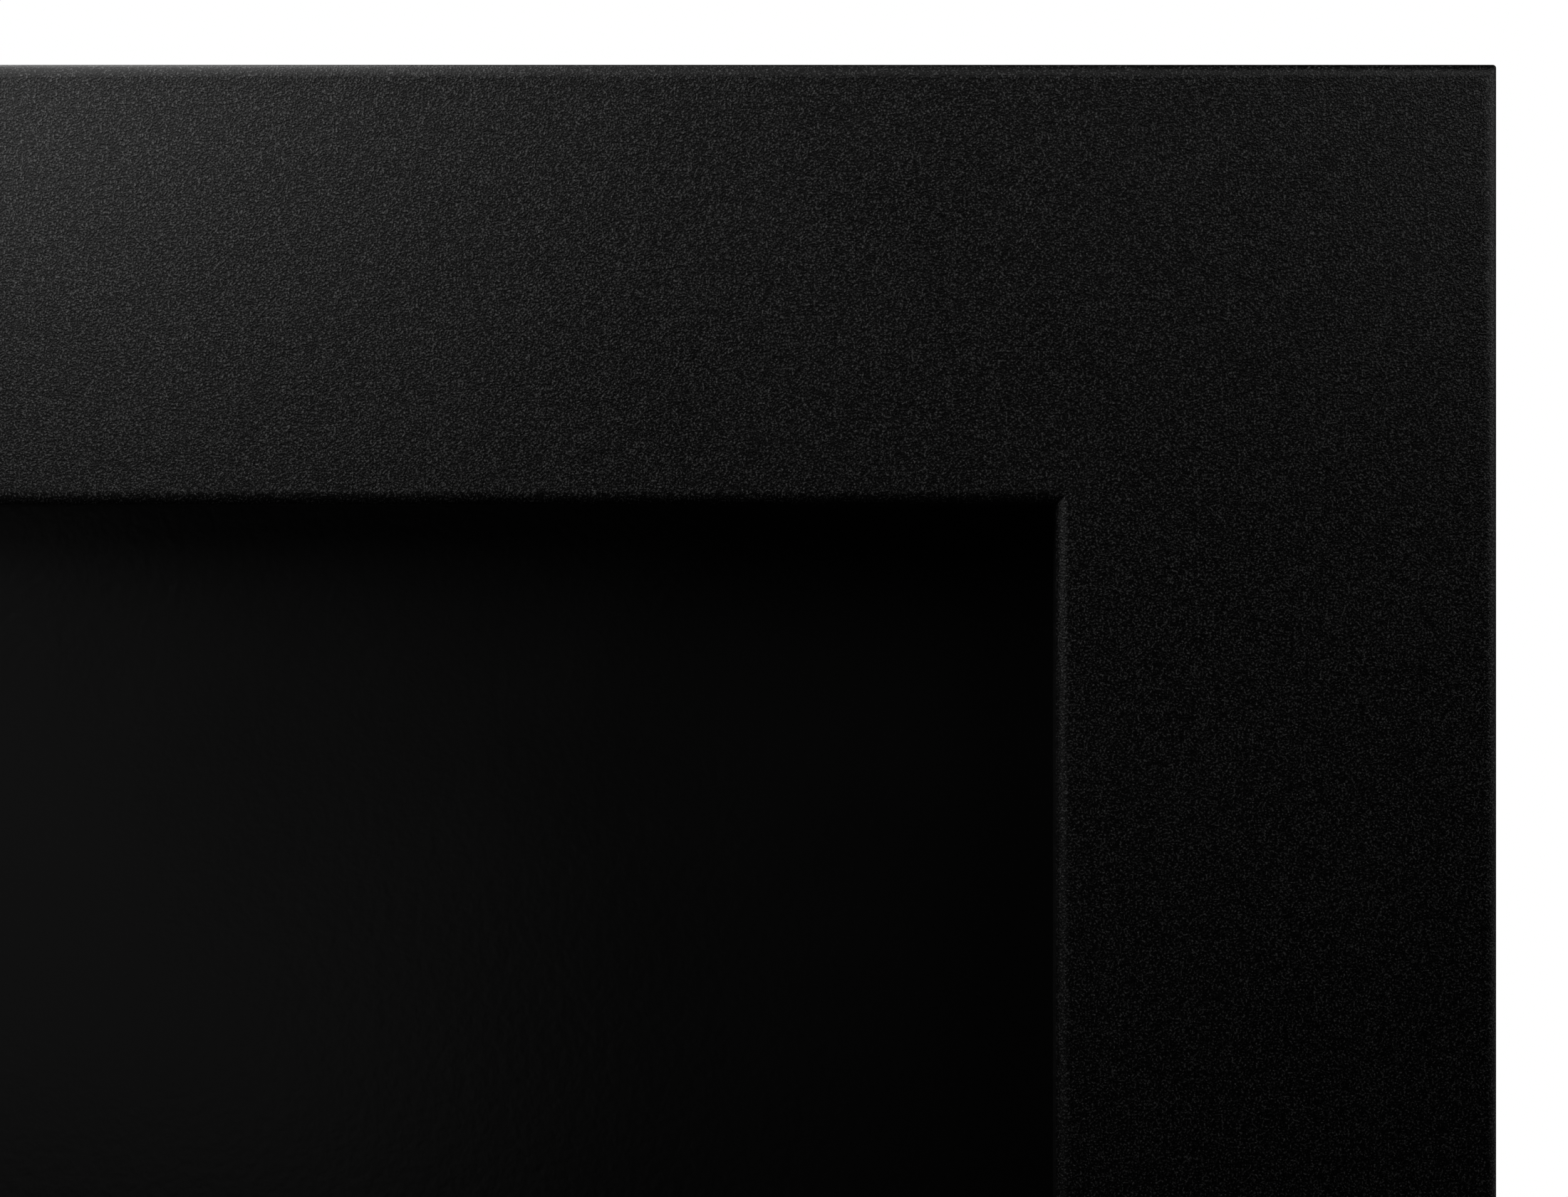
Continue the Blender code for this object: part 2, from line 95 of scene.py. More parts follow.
# Flat bar.
BAR_EDGE_ROUND = 0.0009
UPRIGHT_BEND = 0.0035
UPRIGHT_THICKNESS = 0.005
HOLE_CLEARANCE = 1.12
BOLT_RECESS_DEPTH = 0.0047
TOE_HOLE_RADIUS = 0.0033

# Fasteners, each as radius, thread pitch, head radius, head height and socket across flats.
M4_BUTTON = (0.0020, 0.0007, 0.0038, 0.0022, 0.0025)
M5_BUTTON = (0.0025, 0.0008, 0.0047, 0.0027, 0.0030)
M6_COUNTERSUNK = (0.0030, 0.0010, 0.0060, 0.0033, 0.0040)
# As shares of the pitch.
THREAD_DEPTH = 0.54
CREST_FROM = 0.4
CREST_TO = 0.6
THREAD_CHAMFER = 0.0002

# Glides.
STUD_RADIUS = 0.004
STUD_PITCH = 0.00125
STUD_TAIL_RADIUS = 0.0025
STUD_TAIL_LENGTH = 0.003
STUD_ACROSS_FLATS = 0.013
STUD_COLLAR = 0.003
PAD_EDGE_ROUND = 0.0012
PAD_HOLE_GAP = 0.0002
PAD_HOLE_LIP = 0.0003
PAD_GROOVE_DEPTH = 0.0005

# Lift handles.
WIRE_RADIUS = 0.003
BAIL_HALF_WIDTH = 0.049
BAIL_KNEE = 0.007
BAIL_CORNER = 0.014
STRIP = 0.002
STRIP_EDGE_ROUND = 0.0004
EAR_ROUND = 0.006
EAR_STATIONS = (0.0, 0.0008, 0.002, 0.004, EAR_ROUND)
EAR_HOLE_CLEARANCE = 1.1
RIVET_HEAD_HEIGHT = 0.0014
PIVOT_FROM_PANEL = 0.008


# Mesh helpers.


def arc(centre_u, centre_v, radius, start, end, steps):
    """Points along a circular arc, both ends included, angles in degrees."""
    turn = radians(end - start) / steps
    angles = [radians(start) + turn * i for i in range(steps + 1)]
    return [(centre_u + radius * cos(a), centre_v + radius * sin(a)) for a in angles]


def circle(radius, z, count=ROUND):
    angles = [tau * i / count for i in range(count)]
    return [Vector((radius * cos(a), radius * sin(a), z)) for a in angles]


def hexagon(across_flats, z, count=ROUND, corner_limit=None):
    """Points round a hexagon, as many as a circle has. The limit turns its corners down."""
    points = []
    for i in range(count):
        angle = tau * i / count
        reach = across_flats / 2 / cos((angle % (pi / 3)) - pi / 6)
        if corner_limit:
            reach = min(reach, corner_limit)
        points.append(Vector((reach * cos(angle), reach * sin(angle), z)))
    return points


def finish_mesh(name, bm, sharp_over=40):
    """A mesh of the bmesh, facing out, smooth except over the given angle in degrees."""
    bmesh.ops.recalc_face_normals(bm, faces=bm.faces)
    mesh = bpy.data.meshes.new(name)
    bm.to_mesh(mesh)
    bm.free()
    mesh.shade_smooth()
    mesh.set_sharp_from_angle(angle=radians(sharp_over))
    return mesh


def loft(name, loops, through=False, sharp_over=40):
    """A closed mesh through loops of equal count. With through, the last loop joins the first."""
    bm = bmesh.new()
    rows = [[bm.verts.new(point) for point in loop] for loop in loops]
    pairs = list(zip(rows, rows[1:]))
    if through:
        pairs.append((rows[-1], rows[0]))
    for lower, upper in pairs:
        for i, vertex in enumerate(lower):
            after = (i + 1) % len(lower)
            bm.faces.new((vertex, lower[after], upper[after], upper[i]))
    if not through:
        bm.faces.new(rows[0])
        bm.faces.new(rows[-1])
    return finish_mesh(name, bm, sharp_over)


def holed(mesh, name, spots, radius, length, axis):
    """The mesh with round holes bored through it, centred on each spot, along one axis."""
    turns = {"X": (pi / 2, "Y"), "Y": (pi / 2, "X"), "Z": (0, "Z")}
    angle, about = turns[axis]
    turn = Matrix.Rotation(angle, 4, about)
    bm = bmesh.new()
    for spot in spots:
        bmesh.ops.create_cone(
            bm,
            cap_ends=True,
            segments=ROUND,
            radius1=radius,
            radius2=radius,
            depth=length,
            matrix=Matrix.Translation(spot) @ turn,
        )
    blank = bpy.data.objects.new(name, mesh)
    drill = bpy.data.objects.new(f"{name}_drill", finish_mesh(f"{name}_drill", bm))
    for item in (blank, drill):
        bpy.context.scene.collection.objects.link(item)
    modifier = blank.modifiers.new("bore", "BOOLEAN")
    modifier.operation = "DIFFERENCE"
    modifier.object = drill
    graph = bpy.context.evaluated_depsgraph_get()
    made = bpy.data.meshes.new_from_object(blank.evaluated_get(graph))
    made.name = name
    for item in (blank, drill):
        bpy.data.objects.remove(item)
    made.set_sharp_from_angle(angle=radians(40))
    return made


def new_piece(node, mesh, location=(0, 0, 0), rotation=(0, 0, 0)):
    """One visible piece, which stands for its CAD node, rides on its body and wears its finish."""
    slot_name = SLOT_OF[node]
    if not mesh.materials:
        mesh.materials.append(FINISHES[slot_name])
    piece = bpy.data.objects.new(f"finished_{node}", mesh)
    piece.location = location
    piece.rotation_euler = rotation
    bpy.context.scene.collection.objects.link(piece)
    # Weighs the shading by face area, so that flats stay flat right up to their bends.
    weighted = piece.modifiers.new("flat_faces_first", "WEIGHTED_NORMAL")
    weighted.mode = "FACE_AREA"
    weighted.keep_sharp = True
    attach(piece, nodes[node]["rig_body"])
    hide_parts(node)
    return piece


def refinish(node):
    """A CAD node whose shape is right keeps it, and wears its slot's finish."""
    slots = nodes[node].data.materials
    for i in range(len(slots)):
        slots[i] = FINISHES[SLOT_OF[node]]


def middle_of(node):
    low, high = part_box(node)
    return (low + high) / 2


# Shader groups. Each puts out heights, masks or colours only.


def new_group(name, inputs, outputs):
    """An empty shader group with its sockets. Inputs map a name to a default, outputs are names."""
    group = bpy.data.node_groups.new(name, "ShaderNodeTree")
    for socket_name, default in inputs.items():
        socket = group.interface.new_socket(socket_name, in_out="INPUT", socket_type="NodeSocketFloat")
        socket.default_value = default
    for socket_name, kind in outputs.items():
        group.interface.new_socket(socket_name, in_out="OUTPUT", socket_type=kind)
    start = group.nodes.new("NodeGroupInput")
    end = group.nodes.new("NodeGroupOutput")
    return group, start, end


def math_node(tree, operation, first, second, clamp=False):
    """A maths node. Each operand is a number or a socket."""
    node = tree.nodes.new("ShaderNodeMath")
    node.operation = operation
    node.use_clamp = clamp
    for i, operand in enumerate((first, second)):
        if isinstance(operand, (int, float)):
            node.inputs[i].default_value = operand
        else:
            tree.links.new(operand, node.inputs[i])
    return node.outputs[0]


def remap(tree, value, from_low, from_high, to_low, to_high):
    node = tree.nodes.new("ShaderNodeMapRange")
    tree.links.new(value, node.inputs["Value"])
    settings = {"From Min": from_low, "From Max": from_high, "To Min": to_low, "To Max": to_high}
    for socket_name, operand in settings.items():
        if isinstance(operand, (int, float)):
            node.inputs[socket_name].default_value = operand
        else:
            tree.links.new(operand, node.inputs[socket_name])
    return node.outputs["Result"]


def noise(tree, where, scale, detail, roughness=0.5):
    """A noise texture. The scale is a number or a socket, in waves per metre."""
    node = tree.nodes.new("ShaderNodeTexNoise")
    node.inputs["Detail"].default_value = detail
    node.inputs["Roughness"].default_value = roughness
    tree.links.new(where, node.inputs["Vector"])
    if isinstance(scale, (int, float)):
        node.inputs["Scale"].default_value = scale
    else:
        tree.links.new(scale, node.inputs["Scale"])
    return node.outputs["Fac"]


def where_on_object(tree):
    return tree.nodes.new("ShaderNodeTexCoord").outputs["Object"]


GRIT_FINENESS = 2.3
RIPPLES_PER_METRE = 45.0
# Where the grain tips begin to take, and then fully take, their painted glint.
GLINT_PAINT_FROM = 0.72
GLINT_PAINT_FULL = 0.98


def make_grain_group():
    """The relief of a cured coat: rounded grains, finer grit between, and a slow ripple.

    The second output masks the highest tips, where glints are painted lighter."""
    inputs = {"Grain Size": 0.0006, "Grit": 0.35, "Ripple": 0.0}
    outputs = {"Height": "NodeSocketFloat", "Painted Glint": "NodeSocketFloat"}
    group, start, end = new_group("coat_grain", inputs, outputs)
    where = where_on_object(group)
    scale = math_node(group, "DIVIDE", 1.0, start.outputs["Grain Size"])
    grains = noise(group, where, scale, 1.0)
    fine_scale = math_node(group, "MULTIPLY", scale, GRIT_FINENESS)
    grit = noise(group, where, fine_scale, 1.0)
    ripple = noise(group, where, RIPPLES_PER_METRE, 1.0)
    weighed_grit = math_node(group, "MULTIPLY", grit, start.outputs["Grit"])
    weighed_ripple = math_node(group, "MULTIPLY", ripple, start.outputs["Ripple"])
    relief = math_node(group, "ADD", grains, weighed_grit)
    height = math_node(group, "ADD", relief, weighed_ripple)
    painted_glint = remap(group, relief, GLINT_PAINT_FROM, GLINT_PAINT_FULL, 0.0, 1.0)
    group.links.new(height, end.inputs["Height"])
    group.links.new(painted_glint, end.inputs["Painted Glint"])
    return group


def make_mottle_group():
    """Slow cloudy variation, from 0 to 1 about a half."""
    inputs = {"Patch Size": 0.03}
    group, start, end = new_group("slow_mottle", inputs, {"Value": "NodeSocketFloat"})
    where = where_on_object(group)
    scale = math_node(group, "DIVIDE", 1.0, start.outputs["Patch Size"])
    cloud = noise(group, where, scale, 3.0, 0.55)
    value = remap(group, cloud, 0.3, 0.7, 0.0, 1.0)
    group.links.new(value, end.inputs["Value"])
    return group


def make_edge_group():
    """Where a convex edge is, from 0 on flats to 1 on the edge, broken up by a noise."""
    inputs = {"Reach": 0.06, "Breakup": 0.5}
    # On the bolts this marks wear and on the pads dust; on the powder coat it places a painted sheen
    # on the bends.
    group, start, end = new_group("edge_wear_and_sheen", inputs, {"Mask": "NodeSocketFloat"})
    pointiness = group.nodes.new("ShaderNodeNewGeometry").outputs["Pointiness"]
    top = math_node(group, "ADD", 0.5, start.outputs["Reach"])
    edge = remap(group, pointiness, 0.51, top, 0.0, 1.0)
    patches = noise(group, where_on_object(group), 260.0, 3.0)
    broken = math_node(group, "MULTIPLY", patches, start.outputs["Breakup"])
    mask = math_node(group, "SUBTRACT", edge, broken, clamp=True)
    group.links.new(mask, end.inputs["Mask"])
    return group


def make_dust_group():
    """Sparse settled specks, each well under a millimetre, as a mask."""
    inputs = {"Spacing": 0.02, "Speck Size": 0.00018, "Share": 0.5}
    group, start, end = new_group("settled_dust", inputs, {"Mask": "NodeSocketFloat"})
    scale = math_node(group, "DIVIDE", 1.0, start.outputs["Spacing"])
    cells = group.nodes.new("ShaderNodeTexVoronoi")
    group.links.new(where_on_object(group), cells.inputs["Vector"])
    group.links.new(scale, cells.inputs["Scale"])
    reach = math_node(group, "DIVIDE", start.outputs["Speck Size"], start.outputs["Spacing"])
    near = math_node(group, "LESS_THAN", cells.outputs["Distance"], reach)
    split = group.nodes.new("ShaderNodeSeparateColor")
    group.links.new(cells.outputs["Color"], split.inputs["Color"])
    kept = math_node(group, "LESS_THAN", split.outputs["Red"], start.outputs["Share"])
    mask = math_node(group, "MULTIPLY", near, kept)
    group.links.new(mask, end.inputs["Mask"])
    return group


GROUPS = {
    "grain": make_grain_group(),
    "mottle": make_mottle_group(),
    "edge": make_edge_group(),
    "dust": make_dust_group(),
}


# Materials.


class Finish:
    """A material being made, with short words for the nodes that every finish uses."""

    def __init__(self, name, roughness, metallic=0.0, specular=0.5):
        self.material = bpy.data.materials.new(name)
        self.material.use_nodes = True
        self.tree = self.material.node_tree
        self.shader = self.tree.nodes["Principled BSDF"]
        self.shader.inputs["Roughness"].default_value = roughness
        self.shader.inputs["Metallic"].default_value = metallic
        self.shader.inputs["Specular IOR Level"].default_value = specular

    def group(self, name, **settings):
        node = self.tree.nodes.new("ShaderNodeGroup")
        node.node_tree = GROUPS[name]
        for socket_name, value in settings.items():
            node.inputs[socket_name.replace("_", " ").title()].default_value = value
        return node.outputs

    def blend(self, mask, below, above):
        """A colour that goes from one to another as the mask goes from 0 to 1."""
        node = self.tree.nodes.new("ShaderNodeMix")
        node.data_type = "RGBA"
        self.tree.links.new(mask, node.inputs["Factor"])
        for socket_name, colour in (("A", below), ("B", above)):
            socket = next(s for s in node.inputs if s.name == socket_name and s.type == "RGBA")
            if isinstance(colour, tuple):
                socket.default_value = (*colour, 1.0)
            else:
                self.tree.links.new(colour, socket)
        return next(s for s in node.outputs if s.type == "RGBA")

    def range(self, value, low, high):
        return remap(self.tree, value, 0.0, 1.0, low, high)

    def bump(self, height, depth):
        node = self.tree.nodes.new("ShaderNodeBump")
        node.inputs["Distance"].default_value = depth
        self.tree.links.new(height, node.inputs["Height"])
        self.tree.links.new(node.outputs["Normal"], self.shader.inputs["Normal"])

    def paint(self, colour, roughness):
        self.tree.links.new(colour, self.shader.inputs["Base Color"])
        self.tree.links.new(roughness, self.shader.inputs["Roughness"])


def powder_coat():
    """Fine-textured matt black, with grains of a third of a millimetre. The highest grain tips are
    painted lighter as painted glints, with the pits between left dark as painted shade, and the convex
    bends are painted lighter as a painted sheen.
    """
    coat = Finish("fine_textured_powder_coat", roughness=0.35, specular=0.36)
    grain = coat.group("grain", grain_size=0.00034, grit=0.35, ripple=0.6)
    mottle = coat.group("mottle", patch_size=0.035)["Value"]
    edge = coat.group("edge", reach=0.08, breakup=0.7)["Mask"]
    dust = coat.group("dust", spacing=0.016, speck_size=0.00016, share=0.35)["Mask"]
    shade = coat.blend(mottle, (0.0010, 0.0010, 0.0010), (0.0014, 0.0014, 0.0014))
    # Painted glints: the highest grain tips are painted far lighter than the coat.
    glint_painted_tips = coat.blend(grain["Painted Glint"], shade, (0.13, 0.13, 0.13))
    # Painted sheen: the convex bends of the powder coat are painted lighter.
    sheen_painted_edges = coat.blend(edge, glint_painted_tips, (0.012, 0.012, 0.012))
    coat.paint(coat.blend(dust, sheen_painted_edges, (0.09, 0.09, 0.088)), coat.range(mottle, 0.33, 0.37))
    coat.bump(grain["Height"], 0.00015)
    return coat.material


def panel_coat():
    """Smooth matt black heat-resistant paint."""
    coat = Finish("smooth_matt_black", roughness=0.35)
    grain = coat.group("grain", grain_size=0.0019, grit=0.4, ripple=0.4)
    mottle = coat.group("mottle", patch_size=0.06)["Value"]
    dust = coat.group("dust", spacing=0.03, speck_size=0.00014, share=0.3)["Mask"]
    shade = coat.blend(mottle, (0.0040, 0.0040, 0.0040), (0.0052, 0.0052, 0.0052))
    coat.paint(coat.blend(dust, shade, (0.03, 0.03, 0.03)), coat.range(mottle, 0.33, 0.37))
    coat.bump(grain["Height"], 0.00006)
    return coat.material


def satin_black_wire():
    coat = Finish("satin_black_wire", roughness=0.35)
    grain = coat.group("grain", grain_size=0.0011, grit=0.2, ripple=0.5)
    mottle = coat.group("mottle", patch_size=0.02)["Value"]
    shade = coat.blend(mottle, (0.008, 0.008, 0.008), (0.014, 0.014, 0.014))
    coat.paint(shade, coat.range(mottle, 0.30, 0.40))
    coat.bump(grain["Height"], 0.00004)
    return coat.material


def black_oxide():
    """Blackened steel: dark, slightly oily, and worn lighter on its edges."""
    steel = Finish("black_oxide_steel", roughness=0.4, metallic=0.85)
    grain = steel.group("grain", grain_size=0.0003, grit=0.6, ripple=0.0)
    mottle = steel.group("mottle", patch_size=0.004)["Value"]
    edge = steel.group("edge", reach=0.10, breakup=0.6)["Mask"]
    shade = steel.blend(mottle, (0.020, 0.020, 0.021), (0.045, 0.042, 0.040))
    steel.paint(steel.blend(edge, shade, (0.16, 0.15, 0.14)), steel.range(mottle, 0.32, 0.48))
    steel.bump(grain["Height"], 0.00002)
    return steel.material


def zinc_plate():
    """Bright zinc with a slight blue and straw bloom."""
    zinc = Finish("zinc_plated_steel", roughness=0.32, metallic=1.0)
    grain = zinc.group("grain", grain_size=0.0004, grit=0.5, ripple=0.0)
    mottle = zinc.group("mottle", patch_size=0.005)["Value"]
    shade = zinc.blend(mottle, (0.50, 0.51, 0.54), (0.62, 0.60, 0.55))
    zinc.paint(shade, zinc.range(mottle, 0.25, 0.40))
    zinc.bump(grain["Height"], 0.00002)
    return zinc.material


def pad_rubber():
    """Black rubber, greyer where it has picked up dust."""
    rubber = Finish("black_rubber", roughness=0.85, specular=0.35)
    grain = rubber.group("grain", grain_size=0.0004, grit=0.8, ripple=0.0)
    mottle = rubber.group("mottle", patch_size=0.008)["Value"]
    edge = rubber.group("edge", reach=0.12, breakup=0.5)["Mask"]
    shade = rubber.blend(mottle, (0.012, 0.012, 0.012), (0.026, 0.025, 0.024))
    rubber.paint(rubber.blend(edge, shade, (0.05, 0.048, 0.046)), rubber.range(mottle, 0.75, 0.92))
    rubber.bump(grain["Height"], 0.00006)
    return rubber.material


def fibre_tape():
    """Woven glass-fibre tape: two sets of yarns crossing over and under."""
    tape = Finish("woven_fibre_tape", roughness=0.95, specular=0.2)
    waves = []
    for axis in ("X", "Z"):
        wave = tape.tree.nodes.new("ShaderNodeTexWave")
        wave.bands_direction = axis
        wave.inputs["Scale"].default_value = 260.0
        tape.tree.links.new(where_on_object(tape.tree), wave.inputs["Vector"])
        waves.append(wave.outputs["Fac"])
    crossing = math_node(tape.tree, "MAXIMUM", *waves)
    mottle = tape.group("mottle", patch_size=0.01)["Value"]
    shade = tape.blend(crossing, (0.018, 0.018, 0.018), (0.07, 0.068, 0.064))
    tape.paint(shade, tape.range(mottle, 0.88, 1.0))
    tape.bump(crossing, 0.0003)
    return tape.material


FINISHES = {
    "powder_coat": powder_coat(),
    "panel_coat": panel_coat(),
    "fibre_tape": fibre_tape(),
    "black_fasteners": black_oxide(),
    "zinc_plate": zinc_plate(),
    "bail_wire": satin_black_wire(),
    "pad_rubber": pad_rubber(),
}
SLOT_OF = {part["node"]: part["material_slot"] for part in frame["record"]["subparts"]}


# Pieces.


def frame_loop(inset, depth, corner_round):
    """A loop round the frame's outline, moved in by the inset, its corners rounded."""
    low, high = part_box("front_frame")
    left, right = low.x + inset + corner_round, high.x - inset - corner_round
    bottom, top = low.z + inset + corner_round, high.z - inset - corner_round
    quarters = ((right, top, 0), (left, top, 90), (left, bottom, 180), (right, bottom, 270))
    points = []
    for x, z, start in quarters:
        for u, v in arc(x, z, corner_round, start, start + 90, CORNER_STEPS):
            points.append(Vector((u, depth, v)))
    return points


def frame_section():
    """The folded sheet as (inset, depth): outer return, face, inner return and seat lip."""
    low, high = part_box("front_frame")
    near = low.y + BEND_OUTSIDE
    face_end = FACE_WIDTH - BEND_OUTSIDE
    seat = low.y + INNER_RETURN
    lip_bend = seat - BEND_OUTSIDE
    lip_edge = FACE_WIDTH - SEAT_LIP
    soft = SHEET_EDGE_ROUND
    outside = arc(soft, high.y - soft, soft, 90, 180, LIP_STEPS)
    outside += arc(BEND_OUTSIDE, near, BEND_OUTSIDE, 180, 270, BEND_STEPS)
    outside += arc(face_end, near, BEND_OUTSIDE, 270, 360, BEND_STEPS)
    outside += arc(face_end, lip_bend, BEND_OUTSIDE, 0, 90, BEND_STEPS)
    outside += arc(lip_edge + soft, seat - soft, soft, 90, 180, LIP_STEPS)
    inside = arc(lip_edge + soft, seat - SHEET + soft, soft, 180, 270, LIP_STEPS)
    inside += arc(face_end, lip_bend, BEND_INSIDE, 90, 0, BEND_STEPS)
    inside += arc(face_end, near, BEND_INSIDE, 360, 270, BEND_STEPS)
    inside += arc(BEND_OUTSIDE, near, BEND_INSIDE, 270, 180, BEND_STEPS)
    inside += arc(SHEET - soft, high.y - soft, soft, 0, 90, LIP_STEPS)
    return outside + inside


def corner_round_at(inset):
    """Full on the outer returns, whose corners are welded and dressed, and next to none elsewhere."""
    share = max(0.0, 1.0 - inset / BEND_OUTSIDE)
    return SHARP_CORNER_ROUND + (OUTER_CORNER_ROUND - SHARP_CORNER_ROUND) * sqrt(share)


def make_front_frame():
    loops = [frame_loop(inset, depth, corner_round_at(inset)) for inset, depth in frame_section()]
    new_piece("front_frame", loft("folded_frame", loops, through=True))


def thread(radius, pitch, start, end):
    """Loops up a screw thread's crests and roots, between two heights."""
    root = radius - THREAD_DEPTH * pitch
    turns = floor((end - start) / pitch)
    loops = []
    for i in range(turns):
        z = start + i * pitch
        loops.append(circle(root, z))
        loops += [circle(radius, z + share * pitch) for share in (CREST_FROM, CREST_TO)]
    return loops + [circle(root, start + turns * pitch)]


def socket_loops(across_flats, face, depth, into):
    """A hexagon socket's loops, from its chamfered mouth to its drilled tip. Into is 1 up, -1 down."""
    small = across_flats * 0.06
    return [
        circle(across_flats * 0.62, face),
        hexagon(across_flats + small, face + into * small),
        hexagon(across_flats, face + into * 2 * small),
        hexagon(across_flats, face + into * depth),
        circle(across_flats * 0.1, face + into * depth * 1.25),
    ]


def button_screw(name, size, length):
    """Head up: underside at z 0, domed crown with a hexagon socket, threaded shank down."""
    radius, pitch, head_radius, head_height, across_flats = size
    root = radius - THREAD_DEPTH * pitch
    crown = across_flats * 0.68
    rim = head_height * 0.14
    loops = [circle(root * 0.9, -length)]
    loops += thread(radius, pitch, -length + 0.2 * pitch, -pitch)
    loops += [circle(radius, -pitch * 0.5), circle(radius, 0), circle(head_radius - rim * 0.4, 0)]
    for u, v in arc(0, 0, 1, 0, 90, DOME_STEPS):
        loops.append(circle(crown + (head_radius - crown) * u, rim + (head_height - rim) * v))
    loops += socket_loops(across_flats, head_height, head_height * 0.6, -1)
    return loft(name, loops)


def clinch_nut(name, screw_radius, height):
    """A round collar from z 0 up, chamfered outside and at the bore's mouths."""
    outer = 2 * screw_radius
    mouth = screw_radius * 1.15
    edge = 0.0003
    loops = [
        circle(mouth + edge, 0),
        circle(outer - edge, 0),
        circle(outer, edge),
        circle(outer, height * 0.7),
        circle(outer - 2 * edge, height - edge),
        circle(outer - 3 * edge, height),
        circle(mouth + edge, height),
        circle(mouth, height - edge),
        circle(mouth, edge),
    ]
    return loft(name, loops, through=True)


def make_screws_and_nuts():
    """Heads to the rear, nuts inside the frame's channel."""
    for kind, size in (("panel", M4_BUTTON), ("upright", M5_BUTTON)):
        radius, _, _, head_height, _ = size
        screws = sorted(name for name in nodes if name.startswith(f"{kind}_screw"))
        nuts = sorted(name for name in nodes if name.startswith(f"{kind}_nut"))
        low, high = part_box(screws[0])
        screw = button_screw(f"{kind}_screw_turned", size, high.y - low.y - head_height)
        for node in screws:
            spot = middle_of(node)
            spot.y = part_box(node)[1].y - head_height
            new_piece(node, screw, spot, (-pi / 2, 0, 0))
        low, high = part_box(nuts[0])
        nut = clinch_nut(f"{kind}_nut_turned", radius, high.y - low.y)
        for node in nuts:
            spot = middle_of(node)
            spot.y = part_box(node)[1].y
            new_piece(node, nut, spot, (pi / 2, 0, 0))


def rounded_slab(name, outline_at, thickness, edge):
    """A slab from z 0 up with rounded edges. The outline is a function of how far in it is moved."""
    quarter = arc(0, 0, 1, 0, 90, BAR_EDGE_STEPS)
    rising = [(edge * (1 - v), edge * (1 - u)) for u, v in quarter]
    falling = [(inset, thickness - z) for inset, z in reversed(rising)]
    loops = []
    for inset, z in rising + falling:
        loops.append([Vector((x, y, z)) for x, y in outline_at(inset)])
    return loft(name, loops)


def foot_bar(name):
    low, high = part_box("foot_bar_left")
    half = (high.x - low.x) / 2
    reach = (high.y - low.y) / 2 - half

    def outline_at(inset):
        rear = arc(0, reach, half - inset, 0, 180, BAR_END_STEPS)
        return rear + arc(0, -reach, half - inset, 180, 360, BAR_END_STEPS)

    return rounded_slab(name, outline_at, high.z - low.z, BAR_EDGE_ROUND)


def foot_upright(name):
    """The bent bar's side view in local X (rearward) and Y (up), with its width along local Z."""
    low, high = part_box("foot_upright_left")
    toe = high.y - low.y
    height = high.z - low.z
    outer = UPRIGHT_BEND + UPRIGHT_THICKNESS

    def outline_at(inset):
        points = [(inset, height - inset)]
        points += arc(outer, outer, outer - inset, 180, 270, FOLD_STEPS)
        points += [(toe - inset, inset), (toe - inset, UPRIGHT_THICKNESS - inset)]
        points += arc(outer, outer, UPRIGHT_BEND + inset, 270, 180, FOLD_STEPS)
        return points + [(UPRIGHT_THICKNESS - inset, height - inset)]

    return rounded_slab(name, outline_at, high.x - low.x, BAR_EDGE_ROUND)


def foot_bolt(name, length):
    """Countersunk, head down at z 0, threaded shank up."""
    radius, pitch, head_radius, head_height, across_flats = M6_COUNTERSUNK
    rim = 0.0003
    loops = list(reversed(socket_loops(across_flats, 0, head_height * 0.55, 1)))
    loops += [circle(head_radius, 0), circle(head_radius, rim), circle(radius, head_height)]
    loops += thread(radius, pitch, head_height + 0.2 * pitch, length - 0.6 * pitch)
    loops.append(circle(radius - THREAD_DEPTH * pitch - THREAD_CHAMFER, length))
    return loft(name, loops)


def make_feet():
    """The bars, uprights and bolts. Gives back the bars, which are lit apart from the rest."""
    bar_blank = foot_bar("foot_bar_blank")
    upright_blank = foot_upright("foot_upright_blank")
    low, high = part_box("foot_bolt_left_1")
    bolt = foot_bolt("foot_bolt_turned", high.z - low.z)
    stud_hole = STUD_RADIUS * HOLE_CLEARANCE
    bolt_recess = M6_COUNTERSUNK[2] * HOLE_CLEARANCE
    bars = []
    for side in SIDES:
        low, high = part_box(f"foot_bar_{side}")
        centre = (low + high) / 2
        bar_place = Vector((centre.x, centre.y, low.z))
        bolts = [middle_of(f"foot_bolt_{side}_{i}") for i in (1, 2)]
        glides = [middle_of(f"glide_stud_{end}_{side}") for end in ("front", "rear")]
        bolt_spots = [spot - bar_place for spot in bolts]
        glide_spots = [spot - bar_place for spot in glides]
        bar = holed(bar_blank, f"foot_bar_{side}_bored", glide_spots, stud_hole, 0.05, "Z")
        drill = 2 * BOLT_RECESS_DEPTH
        bar = holed(bar, f"foot_bar_{side}_drilled", bolt_spots, bolt_recess, drill, "Z")
        bars.append(new_piece(f"foot_bar_{side}", bar, bar_place))

        low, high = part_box(f"foot_upright_{side}")
        toe_spots = [Vector((spot.y - low.y, 0, spot.x - low.x)) for spot in bolts]
        name = f"foot_upright_{side}_drilled"
        upright = holed(upright_blank, name, toe_spots, TOE_HOLE_RADIUS, 0.03, "Y")
        new_piece(f"foot_upright_{side}", upright, low, (pi / 2, 0, pi / 2))
        for i in (1, 2):
            spot = middle_of(f"foot_bolt_{side}_{i}")
            spot.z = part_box(f"foot_bolt_{side}_{i}")[0].z
            new_piece(f"foot_bolt_{side}_{i}", bolt, spot)
    return bars


